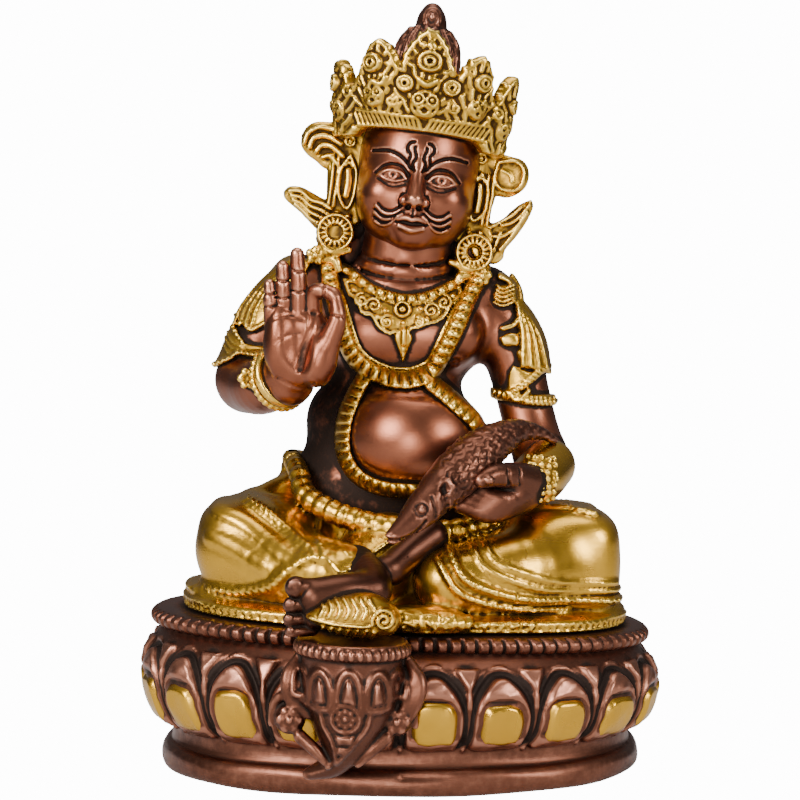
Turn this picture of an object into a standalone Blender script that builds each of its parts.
"""A seated Kubera with a mongoose on an oval lotus pedestal, cast in brass, about 204 mm tall.

Two castings: the figure, and the pedestal with its small lotus footrest.
The frame has +Z up, the front facing -Y, and its origin under the middle of the pedestal.
"""

import math

import bmesh
import bpy
from mathutils import Matrix, Vector

# Pedestal, in metres. Each course is an oval of its own half width and half depth.
LIP_HEIGHT = 0.0068
LIP_HALF_WIDTH = 0.0636
LIP_HALF_DEPTH = 0.0472
WAIST_HEIGHT = 0.0061
WAIST_HALF_WIDTH = 0.0615
WAIST_HALF_DEPTH = 0.0447
BAND_HEIGHT = 0.0232
BAND_HALF_WIDTH = 0.0686
BAND_HALF_DEPTH = 0.0494
THROAT_HALF_WIDTH = 0.0640
THROAT_HALF_DEPTH = 0.0410
PLATE_THICKNESS = 0.0038
PLATE_HALF_WIDTH = 0.0668
PLATE_HALF_DEPTH = 0.0425
OVAL_POWER = 2.25

# Petals round the band and beads round the plate
PETAL_COUNT = 22
PETAL_RELIEF = 0.0013
GEM_RELIEF = 0.0016
BEAD_COUNT = 88
BEAD_RELIEF = 0.0011

# The plate's top leans down towards +X, as the casting does
SEAT_LEAN = math.radians(2.3)
PEDESTAL_HEIGHT = LIP_HEIGHT + WAIST_HEIGHT + BAND_HEIGHT + PLATE_THICKNESS

# The figure is drawn in parts, FIGURE_PARTS to its height, so a part is 1 mm at this size
FIGURE_HEIGHT = 0.1645
FIGURE_PARTS = 164.5
PART = FIGURE_HEIGHT / FIGURE_PARTS
SEAT_GAP = 0.0003
HEAD_LEAN = math.radians(5.2)
HEAD_CENTRE = Vector((0, 2, 116))

# Footrest under the pendent foot and the scrolls beside it, in the figure's parts
FOOTREST_CENTRE = (-11.5, -49.5)
FOOTREST_RADIUS = 13.6
FOOTREST_RIM = 2.4
CURL_RADIUS = 4.6

# Crown leaves, in the figure's parts: direction in degrees, width, and height above the head's centre
CROWN_LEAVES = ((0, 17, 37.6), (-40, 14, 34), (40, 14, 33), (-80, 12.5, 29), (80, 12.5, 29.5))

# Materials
BRONZE = (0.20, 0.085, 0.05, 1)
METAL_ROUGHNESS = 0.35

# How finely the figure's forms are fused, in parts, and the share of faces that is kept
FUSE_STEP = 0.9
SMOOTH_STEPS = 3
KEPT_FACES = 0.0245

COLUMNS_PER_PETAL = 6
COLUMNS_PER_BEAD = 2
FOOTREST_COLUMNS = 22


def clear_scene():
    for obj in list(bpy.data.objects):
        bpy.data.objects.remove(obj)


def new_collection(name):
    collection = bpy.data.collections.new(name)
    bpy.context.scene.collection.children.link(collection)
    return collection


def link(name, mesh, collection):
    obj = bpy.data.objects.new(name, mesh)
    collection.objects.link(obj)
    return obj


def metal(name, colour, roughness):
    material = bpy.data.materials.new(name)
    material.use_nodes = True
    shader = material.node_tree.nodes["Principled BSDF"]
    shader.inputs["Base Color"].default_value = colour
    shader.inputs["Metallic"].default_value = 1.0
    shader.inputs["Roughness"].default_value = roughness
    return material


def smoothstep(value):
    value = min(max(value, 0.0), 1.0)
    return value * value * (3 - 2 * value)


# Ovals and lofts for the pedestal


def oval_angles(half_width, half_depth, count):
    """Angles of `count` points spaced evenly along the oval, starting half a step from its front."""
    fine = 2880
    points = [oval_point(half_width, half_depth, 2 * math.pi * i / fine) for i in range(fine + 1)]
    lengths = [0.0]
    for a, b in zip(points, points[1:]):
        lengths.append(lengths[-1] + (b - a).length)
    angles = []
    index = 0
    for i in range(count):
        wanted = lengths[-1] * i / count
        while lengths[index + 1] < wanted:
            index += 1
        share = (wanted - lengths[index]) / (lengths[index + 1] - lengths[index])
        angles.append(2 * math.pi * (index + share) / fine)
    return angles


def oval_point(half_width, half_depth, angle):
    """A point of the oval; angle 0 is its front, at -Y, and it runs towards +X."""
    s, c = math.sin(angle), math.cos(angle)
    x = half_width * math.copysign(abs(s) ** (2 / OVAL_POWER), s)
    y = -half_depth * math.copysign(abs(c) ** (2 / OVAL_POWER), c)
    return Vector((x, y))


def loft(name, rings, collection):
    """A closed skin over rings of points, bottom to top, with a flat cap at each end."""
    bm = bmesh.new()
    rows = [[bm.verts.new(point) for point in ring] for ring in rings]
    count = len(rows[0])
    for low, high in zip(rows, rows[1:]):
        for i in range(count):
            j = (i + 1) % count
            bm.faces.new((low[i], low[j], high[j], high[i]))
    bm.faces.new(rows[0][::-1])
    bm.faces.new(rows[-1])
    mesh = bpy.data.meshes.new(name)
    bm.to_mesh(mesh)
    bm.free()
    return link(name, mesh, collection)


def lean(point):
    """The casting's slope: none at the floor, all of it at the plate."""
    rise = smoothstep(point.z / PEDESTAL_HEIGHT)
    return Vector((point.x, point.y, point.z - point.x * math.tan(SEAT_LEAN) * rise))


def petal_relief(phase, height):
    """How far the band stands out: phase runs -0.5 to 0.5 across a petal, height 0 to 1 up the band."""
    arch = 0.46 * math.sqrt(max(0.0, 1 - (height / 0.94) ** 3))
    petal = PETAL_RELIEF * smoothstep((arch - abs(phase)) / 0.16 + 0.25)
    gem = GEM_RELIEF if abs(phase) < 0.2 and 0.02 < height < 0.5 else 0.0
    return petal + gem


def pedestal_body(collection):
    """Lip, waist, petalled band and throat, from the floor up to the plate."""
    count = PETAL_COUNT * COLUMNS_PER_PETAL
    angles = oval_angles(BAND_HALF_WIDTH, BAND_HALF_DEPTH, count)
    lip_round = 0.0022
    rings = []

    def course(z, half_width, half_depth, relief_height=None):
        ring = []
        for column, angle in enumerate(angles):
            flat = oval_point(half_width, half_depth, angle)
            if relief_height is not None:
                phase = (column % COLUMNS_PER_PETAL) / COLUMNS_PER_PETAL - 0.5
                flat += flat.normalized() * petal_relief(phase, relief_height)
            ring.append(lean(Vector((flat.x, flat.y, z))))
        rings.append(ring)

    course(0.0, LIP_HALF_WIDTH - lip_round, LIP_HALF_DEPTH - lip_round)
    course(0.3 * LIP_HEIGHT, LIP_HALF_WIDTH, LIP_HALF_DEPTH)
    course(0.7 * LIP_HEIGHT, LIP_HALF_WIDTH, LIP_HALF_DEPTH)
    course(LIP_HEIGHT, WAIST_HALF_WIDTH + 0.0003, WAIST_HALF_DEPTH + 0.0003)
    band_foot = LIP_HEIGHT + WAIST_HEIGHT
    course(band_foot, WAIST_HALF_WIDTH, WAIST_HALF_DEPTH)
    for height in (0.06, 0.44, 0.54, 0.76, 0.9):
        bulge = math.sin(math.pi * (0.12 + 0.72 * height)) ** 0.8
        half_width = WAIST_HALF_WIDTH + (BAND_HALF_WIDTH - WAIST_HALF_WIDTH) * bulge
        half_depth = WAIST_HALF_DEPTH + (BAND_HALF_DEPTH - WAIST_HALF_DEPTH) * bulge
        course(band_foot + BAND_HEIGHT * height, half_width, half_depth, height)
    course(band_foot + BAND_HEIGHT * 1.02, THROAT_HALF_WIDTH, THROAT_HALF_DEPTH)
    return loft("lotus_pedestal", rings, collection)


def beaded_plate(collection):
    """The plate that the figure sits on, with beads cut round its edge."""
    count = BEAD_COUNT * COLUMNS_PER_BEAD
    angles = oval_angles(PLATE_HALF_WIDTH, PLATE_HALF_DEPTH, count)
    foot = PEDESTAL_HEIGHT - PLATE_THICKNESS
    rings = []
    for z, inset in ((foot, 0.0004), (PEDESTAL_HEIGHT, 0.0)):
        ring = []
        for column, angle in enumerate(angles):
            cut = inset + (BEAD_RELIEF if column % COLUMNS_PER_BEAD else 0.0)
            flat = oval_point(PLATE_HALF_WIDTH - cut, PLATE_HALF_DEPTH - cut, angle)
            ring.append(lean(Vector((flat.x, flat.y, z))))
        rings.append(ring)
    return loft("plate", rings, collection)


def footrest(collection):
    """A lotus bud on a curled stem, its top level with the plate."""
    x, y = (value * PART for value in FOOTREST_CENTRE)
    radius = FOOTREST_RADIUS * PART
    rim = FOOTREST_RIM * PART
    top = PEDESTAL_HEIGHT
    bottom = 0.45 * LIP_HEIGHT
    back = -LIP_HALF_DEPTH + 0.004
    drop = top - rim - bottom
    levels = [(bottom, 0.16, 1.0), (bottom + 0.16 * drop, 0.30, 0.85)]
    levels += [(bottom + 0.36 * drop, 0.52, 0.55), (bottom + 0.6 * drop, 0.78, 0.25)]
    levels += [(bottom + 0.85 * drop, 0.95, 0.08), (top - rim, 0.93, 0.0)]
    levels += [(top - 0.85 * rim, 1.03, 0.0), (top, 1.03, 0.0)]
    rings = []
    for z, share, pull in levels:
        ring = []
        for column in range(FOOTREST_COLUMNS):
            angle = 2 * math.pi * column / FOOTREST_COLUMNS
            scallop = 1 + 0.05 * abs(math.sin(2.5 * angle)) * (0 if share > 1 else 1)
            px = x + radius * share * scallop * math.sin(angle) - 0.25 * radius * pull
            py = y + (back - y) * pull - radius * share * scallop * math.cos(angle)
            ring.append(lean(Vector((px, py, z))))
        rings.append(ring)
    return loft("footrest_lotus", rings, collection)


def curl(name, centre, radius, collection):
    """One scroll beside the footrest."""
    bm = bmesh.new()
    squat = Matrix.Diagonal((1.0, 0.9, 1.0, 1.0))
    place = Matrix.Translation(lean(Vector(centre)))
    bmesh.ops.create_uvsphere(bm, u_segments=10, v_segments=6, radius=radius, matrix=place @ squat)
    mesh = bpy.data.meshes.new(name)
    bm.to_mesh(mesh)
    bm.free()
    return link(name, mesh, collection)


def join_with_boolean(base, others):
    """Fuses each of the others into base and takes its object away."""
    for other in others:
        modifier = base.modifiers.new(other.name, "BOOLEAN")
        modifier.operation = "UNION"
        modifier.object = other
    bake(base)
    for other in others:
        bpy.data.objects.remove(other)


def bake(obj):
    """Replaces the object's mesh by what its modifiers make of it."""
    graph = bpy.context.evaluated_depsgraph_get()
    mesh = bpy.data.meshes.new_from_object(obj.evaluated_get(graph))
    obj.modifiers.clear()
    obj.data = mesh


def build_pedestal(collection):
    body = pedestal_body(collection)
    band_middle = LIP_HEIGHT + WAIST_HEIGHT + 0.38 * BAND_HEIGHT
    centre_x = FOOTREST_CENTRE[0] * PART
    reach = 1.02 * FOOTREST_RADIUS * PART
    pieces = [beaded_plate(collection), footrest(collection)]
    for side in (-1, 1):
        centre = (centre_x + side * reach, -BAND_HALF_DEPTH - 0.0006, band_middle)
        pieces.append(curl(f"curl_{side}", centre, CURL_RADIUS * PART, collection))
    join_with_boolean(body, pieces)
    return body


# The figure's forms. Each is added to one list, which is fused at the end.


def in_parts(points):
    return [Vector(point) for point in points]


def ball(forms, centre, radii, place=None):
    """An ellipsoid; place is a matrix that turns the parts' frame, such as the head's."""
    matrix = (place or Matrix()) @ Matrix.Translation(centre) @ Matrix.Diagonal((*radii, 1))
    bm = bmesh.new()
    bmesh.ops.create_uvsphere(bm, u_segments=20, v_segments=12, radius=1, matrix=matrix)
    add_form(forms, bm)


def add_form(forms, bm):
    mesh = bpy.data.meshes.new("form")
    bm.to_mesh(mesh)
    bm.free()
    forms.append(mesh)


def curve_form(forms, curve, matrix):
    """Takes the curve's skin as a form, with its caps welded to its sides."""
    obj = bpy.data.objects.new("form", curve)
    bpy.context.scene.collection.objects.link(obj)
    graph = bpy.context.evaluated_depsgraph_get()
    mesh = bpy.data.meshes.new_from_object(obj.evaluated_get(graph))
    bpy.data.objects.remove(obj)
    bm = bmesh.new()
    bm.from_mesh(mesh)
    bpy.data.meshes.remove(mesh)
    bm.transform(matrix)
    bmesh.ops.remove_doubles(bm, verts=bm.verts, dist=0.0001)
    add_form(forms, bm)


def curved(points, radii, steps=6):
    """Points and radii read from a smooth curve through the given ones."""
    points = in_parts(points)
    ends = [2 * points[0] - points[1], *points, 2 * points[-1] - points[-2]]
    rows = []
    for i in range(len(points) - 1):
        a, b, c, d = ends[i : i + 4]
        for step in range(steps):
            t = step / steps
            place = 0.5 * (
                2 * b + (c - a) * t + (2 * a - 5 * b + 4 * c - d) * t**2 + (3 * b - a - 3 * c + d) * t**3
            )
            rows.append((place, radii[i] + (radii[i + 1] - radii[i]) * t))
    rows.append((points[-1], radii[-1]))
    return rows


def limb(forms, points, radii, place=None, steps=6):
    """A tapering round form along a smooth line, with round ends."""
    curve = bpy.data.curves.new("limb", "CURVE")
    curve.dimensions = "3D"
    curve.bevel_depth = 1.0
    curve.bevel_resolution = 3
    curve.use_fill_caps = True
    rows = curved(points, radii, steps)
    spline = curve.splines.new("POLY")
    spline.points.add(len(rows) - 1)
    for point, (place_on_line, radius) in zip(spline.points, rows):
        point.co = (*place_on_line, 1)
        point.radius = radius
    curve_form(forms, curve, place or Matrix())
    for end in (0, -1):
        ball(forms, rows[end][0], (rows[end][1],) * 3, place)


def ring(forms, centre, axis, radius, thickness, place=None, columns=20):
    """A bangle: a round bar bent round an axis."""
    turn = Vector((0, 0, 1)).rotation_difference(Vector(axis)).to_matrix().to_4x4()
    matrix = Matrix.Translation(centre) @ turn
    points = []
    for i in range(columns + 1):
        angle = 2 * math.pi * i / columns
        points.append(matrix @ Vector((radius * math.cos(angle), radius * math.sin(angle), 0)))
    limb(forms, points, [thickness] * len(points), place, steps=1)


def slab(forms, outline, thickness, matrix):
    """A flat piece with this outline in X and Z, its face towards -Y, before the matrix places it."""
    curve = bpy.data.curves.new("slab", "CURVE")
    curve.dimensions = "2D"
    curve.fill_mode = "BOTH"
    curve.extrude = thickness / 2
    spline = curve.splines.new("POLY")
    spline.points.add(len(outline) - 1)
    for point, (x, z) in zip(spline.points, outline):
        point.co = (x, z, 0, 1)
    spline.use_cyclic_u = True
    curve_form(forms, curve, matrix @ Matrix.Rotation(math.pi / 2, 4, "X"))


TORSO = (
    ((-1, 9, 14), (34, 24, 18)),
    ((-3, 8, 34), (31, 21, 20)),
    ((1.5, -3, 45), (20.5, 19, 18)),
    ((-4, 7, 58), (21, 16, 15)),
    ((-2, 6, 74), (24, 16.5, 15)),
    ((-4, 8, 84), (29, 13, 10.5)),
)


def torso_front(x, z):
    """The y of the torso's front at this place, where the ornaments lie."""
    found = 0.0
    for (cx, cy, cz), (rx, ry, rz) in TORSO:
        rest = 1 - ((x - cx) / rx) ** 2 - ((z - cz) / rz) ** 2
        if rest > 0:
            found = min(found, cy - ry * math.sqrt(rest))
    return found


def laid_on_torso(forms, line, radius, proud=0.3):
    """A cord or chain of jewels that lies on the torso along this line of (x, z)."""
    points = [(x, torso_front(x, z) - proud, z) for x, z in line]
    limb(forms, points, [radius] * len(points))


def add_torso(forms):
    for centre, radii in TORSO:
        ball(forms, centre, radii)
    limb(forms, [(-3, 7, 84), (-2.2, 4, 95), (-1.2, 3, 104)], [14.5, 12.4, 12])
    for height, radius in ((90, 12.6), (94, 12.2)):
        ring(forms, (-2.3, 4.5, height), (0, -0.25, 1), radius, 0.9)


def add_torso_ornaments(forms):
    """Collar with its pendant, the long garland, the band round the belly and the rope belt."""
    laid_on_torso(forms, [(-17, 93), (-13, 88), (-2, 83.5), (9, 87), (13.5, 92)], 1.8)
    laid_on_torso(forms, [(-13, 85), (-8, 79.5), (-2, 77), (4, 79.5), (9, 85)], 2.2)
    laid_on_torso(forms, [(-2, 76), (-2, 71), (-1.8, 68)], 1.8)
    garland = [(-21, 89), (-22, 80), (-19, 69), (-11, 63), (-2, 61.5), (6, 65), (13, 75), (18, 88)]
    laid_on_torso(forms, garland, 2.0)
    band = [(-11, 60), (-15.5, 52), (-16, 43), (-11, 37), (-3, 34.5)]
    band += [(8, 33.5), (17, 38), (20, 46), (15, 55), (9, 60.5)]
    laid_on_torso(forms, band, 1.7)
    belt = [(-33, 6, 37), (-28, -10, 31), (-17, -20, 26), (-4, -25, 23)]
    belt += [(10, -26, 22), (24, -18, 26), (33, -2, 30)]
    limb(forms, belt, [3.2, 3.8, 4.2, 4.4, 4.2, 3.8, 3.2])
    limb(forms, [(33, -2, 30), (26, 22, 33), (-3, 31, 35), (-30, 22, 37), (-33, 6, 37)], [3.2] * 5)


def head_matrix():
    return Matrix.Translation(HEAD_CENTRE) @ Matrix.Rotation(HEAD_LEAN, 4, "Y")


def add_head(forms):
    """Face on plain proportions, with lids, nose, lips and moustache."""
    place = head_matrix()
    ball(forms, (0, 1, 5), (16.8, 18, 19), place)
    ball(forms, (0, -1.5, -7.5), (15.2, 14.6, 12), place)
    ball(forms, (0, -5.5, -13.4), (9.5, 9.2, 5.6), place)
    limb(forms, [(0, -16.6, 1), (0, -18.4, -4.5), (0, -19.4, -7.5)], [1.4, 1.8, 2.3], place)
    for side in (-1, 1):
        ball(forms, (side * 7, -14.2, 0), (3.4, 2.4, 1.9), place)
        ball(forms, (side * 2.4, -17.6, -7.6), (1.7, 1.9, 1.5), place)
        brow = [(side * 2.5, -16.8, 3), (side * 7, -15.8, 4.6), (side * 11.5, -12.5, 3)]
        limb(forms, brow, [0.9] * 3, place)
        moustache = [(side * 1, -17.4, -11), (side * 5, -16.2, -11.4), (side * 9, -13, -8.8)]
        limb(forms, moustache, [1.1, 1.2, 0.6], place)
        ball(forms, (side * 8.5, -11, -6), (4.5, 4, 4.5), place)
    limb(forms, [(-4, -15.8, -13.2), (0, -17.0, -13), (4, -15.8, -13.2)], [0.7, 1.1, 0.7], place)
    limb(forms, [(-3, -15.4, -15.6), (0, -16.4, -15.9), (3, -15.4, -15.6)], [0.7, 1.2, 0.7], place)


def add_hair(forms):
    """The knot of combed hair and its finial."""
    place = head_matrix()
    ball(forms, (-1.3, 5, 21), (9, 8.5, 10), place)
    ball(forms, (-1.3, 6, 31.5), (9, 8, 9), place)
    ball(forms, (-1.3, 6, 43), (4.1, 3.9, 5.4), place)


def leaf_outline(width, height):
    """A crown leaf: straight sides at the foot, swelling, then a rounded point."""
    half = width / 2
    right = [(half * 0.96, 0), (half, 0.3 * height), (half * 0.8, 0.52 * height)]
    right += [(half * 0.52, 0.76 * height), (half * 0.24, 0.95 * height)]
    return right + [(0, height)] + [(-x, z) for x, z in right[::-1]]


def add_crown(forms):
    """A band with five leaves that lean outwards, each with its bosses."""
    place = head_matrix()
    for height in (11.6, 14.4, 17.2):
        points = []
        for i in range(25):
            angle = math.radians(-108 + 9 * i)
            points.append((18.2 * math.sin(angle), 1 - 18.6 * math.cos(angle), height))
        limb(forms, points, [1.9] * len(points), place, steps=1)
    for degrees, width, top in CROWN_LEAVES:
        turn = Matrix.Rotation(math.radians(degrees), 4, "Z")
        out = place @ Matrix.Translation((0, 1, 0)) @ turn @ Matrix.Translation((0, -18.4, 12))
        tilted = out @ Matrix.Rotation(math.radians(11), 4, "X")
        slab(forms, leaf_outline(width, top - 11.6), 2.6, tilted)
        ball(forms, (0, -1.2, 0.55 * (top - 12)), (2.7, 1.5, 2.7), tilted)
        ball(forms, (0, -1.2, 0.20 * (top - 12)), (3.1, 1.6, 2.9), tilted)
        for side in (-1, 1):
            ball(forms, (side * 0.3 * width, -1.0, 0.33 * (top - 12)), (1.9, 1.3, 1.9), tilted)


def add_ribbons(forms):
    """On each side of the head: a bow's loop, a strap, the ear's jewel and a ribbon end."""
    place = head_matrix()
    for side, loop, tip in ((-1, (-27.5, 7.5), (-34.8, -7.5)), (1, (26.8, 4.5), (31.5, -2.0))):
        limb(forms, [(side * 17, 3, 12), (side * 21, 2, 10), (side * 25, 2, 8)], [3, 3, 2.6], place)
        ball(forms, (loop[0], 2, loop[1]), (4.6, 2.2, 4.9), place)
        strap = [(side * 18.5, 1, 12), (side * 20, 0, 0), (side * 19, -1, -14)]
        limb(forms, strap, [3.0, 3.0, 3.2], place)
        ear = [(side * 16.6, -4, 4), (side * 17, -5, -3), (side * 16.2, -4, -9)]
        limb(forms, ear, [1.6, 2.0, 1.6], place)
        root = (side * 20, 1, -14)
        middle = (0.5 * (root[0] + tip[0]), 1, 0.5 * (root[2] + tip[1]) - 0.6)
        limb(forms, [root, middle, (tip[0], 1, tip[1])], [3.4, 2.9, 1.2], place)
        ball(forms, (side * 18.8, -3, -18.2), (5.6, 2.4, 5.6), place)
        ring(forms, (side * 18.8, -5.2, -18.2), (0, 1, 0), 3.8, 0.9, place)
        limb(forms, [(side * 19, -2, -22), (side * 18.2, -2, -27)], [3.2, 2.2], place)


def add_raised_arm(forms):
    """The arm with the open palm; its forefinger and thumb meet in a ring."""
    limb(forms, [(-29, 8, 83), (-38, 6, 72), (-43.2, 1.5, 61)], [11.5, 10, 8.6])
    limb(forms, [(-43.2, 1.5, 60), (-38.5, -9, 59.5), (-31, -18.5, 63)], [8.4, 7.8, 7])
    limb(forms, [(-36.5, 4, 88), (-42.5, 0, 79), (-41, -5, 70)], [6.4, 6.8, 5])
    limb(forms, [(-48.5, -1, 68), (-42, -8, 66.5), (-35, -7, 68)], [3.6, 3.4, 3])
    ring(forms, (-33.6, -15, 61.6), (0.5, -0.75, 0.45), 7.4, 1.5)
    ball(forms, (-28.5, -23.5, 70.5), (9.4, 4.6, 10.8))
    ball(forms, (-33.5, -24, 73), (3.6, 4, 9.5))
    limb(forms, [(-29, -23.5, 76), (-29.2, -24.5, 86), (-29.6, -25, 93.2)], [2.5, 2.1, 1.7])
    limb(forms, [(-32.8, -23.5, 77), (-33.2, -24.5, 84), (-33.4, -25, 90.4)], [2.3, 2.0, 1.6])
    limb(forms, [(-35.8, -23.5, 76), (-36.4, -24.5, 81), (-36.6, -24.5, 86)], [2.0, 1.8, 1.5])
    limb(forms, [(-25.5, -23, 78), (-25, -24.5, 83.5), (-20.8, -26.5, 84)], [2.2, 2.0, 1.7])
    limb(forms, [(-24, -25, 64), (-19.8, -27, 73), (-19.4, -27.5, 82.6)], [4.2, 2.9, 1.9])


def add_lowered_arm(forms):
    """The arm that comes down and holds the mongoose, with its scarf, armlet and bracelet."""
    upper_arm = [(20, 8, 83), (26.8, 6, 72), (30.2, 5, 62), (33, 3, 52), (35.8, 0, 44)]
    limb(forms, upper_arm, [11, 8.8, 7.6, 7.4, 7])
    limb(forms, [(36, -1, 43), (36.8, -12, 39.5), (32, -24, 36.5)], [6.8, 5.8, 4.8])
    limb(forms, [(25.5, 1, 87), (31, 0, 78), (33.8, -1, 68), (31, -4, 61)], [3.6, 5.2, 5.4, 3.4])
    ring(forms, (32, 3.6, 56.5), (0.3, -0.1, -1), 7.3, 1.3)
    ring(forms, (36, -16, 38.6), (-0.1, -0.9, -0.25), 5.4, 1.8)
    limb(forms, [(36, -10, 48), (41.5, -12, 46), (43.5, -12, 40)], [1.6, 2.4, 1.8])
    limb(forms, [(31.5, -25, 37), (25, -31, 38), (18, -36, 38.6)], [4.8, 3.6, 2.2])
    for i in range(4):
        drop = 2.6 * i
        points = [(30, -26, 34 - 0.6 * i), (22 - i, -32, 33 - drop * 0.7), (14 - 0.6 * i, -35, 32 - drop)]
        limb(forms, points, [3.0, 2.4, 2.0])


def add_mongoose(forms):
    """The mongoose lies across the forearm with its snout down over the lap."""
    body = [(36, -17, 49.4), (30, -20, 51), (24, -25, 50.2)]
    body += [(18, -30, 45.8), (13, -34, 40.8), (9, -38, 36.2)]
    limb(forms, body, [1.8, 2.4, 3.8, 5.6, 6.4, 5.4])
    limb(forms, [(9, -39, 36.2), (4, -43, 31), (-0.5, -47, 26.4), (-2.6, -48.5, 24.6)], [5.2, 4.6, 3, 1.9])
    ball(forms, (9.2, -43.4, 37), (2, 1.4, 2.2))
    ball(forms, (3.6, -47.2, 31.4), (1.1, 0.9, 1.1))
    limb(forms, [(16, -28, 38), (10, -26, 32), (6, -26, 27)], [5, 5, 4.5])


def add_legs(forms):
    """Folded legs under the cloth, the hems and the apron between them."""
    limb(forms, [(-13, 6, 17), (-30, 0, 18), (-41, -8, 17)], [16, 15, 13.2])
    limb(forms, [(-42, -11, 15.5), (-30, -24, 13.5), (-15, -35, 13)], [12, 10.5, 7.4])
    limb(forms, [(13, 6, 17), (30, 0, 18), (43.5, -9, 17.5)], [16, 15, 13.4])
    limb(forms, [(45, -11, 16), (30, -24, 15), (12, -30, 12)], [12.4, 12, 9.5])
    ball(forms, (0, 14, 10), (44, 24, 15))
    ball(forms, (0, 3, 0), (57, 35, 4))
    limb(forms, [(-4, -18, 16), (-8, -27, 12), (-11, -32, 9)], [12, 9, 6])
    for side, reach in ((-1, 57.5), (1, 60)):
        hem = [(side * 22, 36, 1), (side * 46, 24, 1), (side * reach, -3, 1.2)]
        hem += [(side * (reach - 4), -22, 1.4), (side * 38, -33, 1.4), (side * 20, -38, 1.2)]
        limb(forms, hem, [1.8, 2, 2.4, 2.6, 2.6, 2.2])
        fold = [(side * 50, 6, 3), (side * 52, -12, 3.5), (side * 44, -26, 4), (side * 26, -34, 4)]
        limb(forms, fold, [4.5, 5.5, 5, 4.5])
    limb(forms, [(-50, -24, 5), (-36, -33, 8), (-24, -38, 13), (-15, -37, 19)], [1.7] * 4)
    for lift in (0.0, 3.4):
        hem = [(10, -33 - lift * 0.3, 20 + lift), (14, -38 - lift * 0.2, 12 + lift)]
        hem += [(26, -38, 6.5 + lift), (42, -33, 4.5 + lift), (56, -20, 4 + lift)]
        limb(forms, hem, [1.6] * 5)
    limb(forms, [(-2, -38, 3.4), (10, -41, 3.6), (24, -39, 3)], [3.2, 3.6, 2.8])


def add_feet(forms):
    """The pendent foot on its conch, and the tucked foot in the lap."""
    limb(forms, [(-14, -36, 13.5), (-8, -42, 12), (-7, -45, 10.5)], [6.4, 5.6, 5])
    limb(forms, [(-7, -46, 10.5), (-15, -50, 11), (-22.5, -52.5, 9)], [5, 4.6, 4.6])
    for x, z, radius in ((-25.4, 12.2, 2.7), (-25.8, 8.4, 2.2), (-25.8, 5.2, 2.0), (-25.4, 2.6, 1.8)):
        limb(forms, [(x + 4, -52.5, z), (x, -54, z)], [radius, radius])
    limb(forms, [(-21.5, -55.5, 5), (-15, -56, 5), (-7, -55, 5.4), (-1.2, -53.5, 6.2)], [1.6, 4, 5, 3])
    limb(forms, [(5, -30, 22), (-1, -33, 18), (-4.4, -36.5, 14.4)], [4.6, 4.2, 4])
    for i in range(4):
        ball(forms, (-6.5 - 1.7 * i, -38.2 + 0.3 * i, 13.6 - 0.9 * i), (1.5, 1.6, 1.8))


def build_figure(collection, cutters):
    """Every form in one mesh, fused, thinned and cut flat where it sits."""
    forms = []
    add_torso(forms)
    add_torso_ornaments(forms)
    add_head(forms)
    add_hair(forms)
    add_crown(forms)
    add_ribbons(forms)
    add_raised_arm(forms)
    add_lowered_arm(forms)
    add_mongoose(forms)
    add_legs(forms)
    add_feet(forms)
    bm = bmesh.new()
    for form in forms:
        bm.from_mesh(form)
        bpy.data.meshes.remove(form)
    mesh = bpy.data.meshes.new("figure")
    bm.to_mesh(mesh)
    bm.free()
    mesh.transform(Matrix.Scale(PART, 4))
    figure = link("figure", mesh, collection)
    fuse = figure.modifiers.new("fuse", "REMESH")
    fuse.mode = "VOXEL"
    fuse.voxel_size = FUSE_STEP * PART
    smooth = figure.modifiers.new("smooth", "SMOOTH")
    smooth.iterations = SMOOTH_STEPS
    thin = figure.modifiers.new("thin", "DECIMATE")
    thin.ratio = KEPT_FACES
    bake(figure)
    box_mesh = bpy.data.meshes.new("seat_cutter")
    bm = bmesh.new()
    side = 2 * FIGURE_HEIGHT
    bmesh.ops.create_cube(bm, size=side, matrix=Matrix.Translation((0, 0, -side / 2)))
    bm.to_mesh(box_mesh)
    bm.free()
    cutter = link("seat_cutter", box_mesh, cutters)
    cutter.hide_render = True
    cutter.display_type = "WIRE"
    cut = figure.modifiers.new("seat", "BOOLEAN")
    cut.operation = "DIFFERENCE"
    cut.object = cutter
    return figure, cutter


def main():
    clear_scene()
    parts = new_collection("kubera_statue")
    cutters = new_collection("cutters")
    bronze = metal("antiqued_bronze", BRONZE, METAL_ROUGHNESS)
    seat = bpy.data.objects.new("seat", None)
    parts.objects.link(seat)
    seat.location = (0, 0, PEDESTAL_HEIGHT + SEAT_GAP)
    seat.rotation_euler = (0, SEAT_LEAN, 0)
    figure, cutter = build_figure(parts, cutters)
    figure.parent = seat
    cutter.parent = seat
    pedestal = build_pedestal(parts)
    for obj in (figure, pedestal):
        obj.data.materials.clear()
        obj.data.materials.append(bronze)
        obj.data.shade_smooth()
        obj.data.set_sharp_from_angle(angle=math.radians(40))


main()
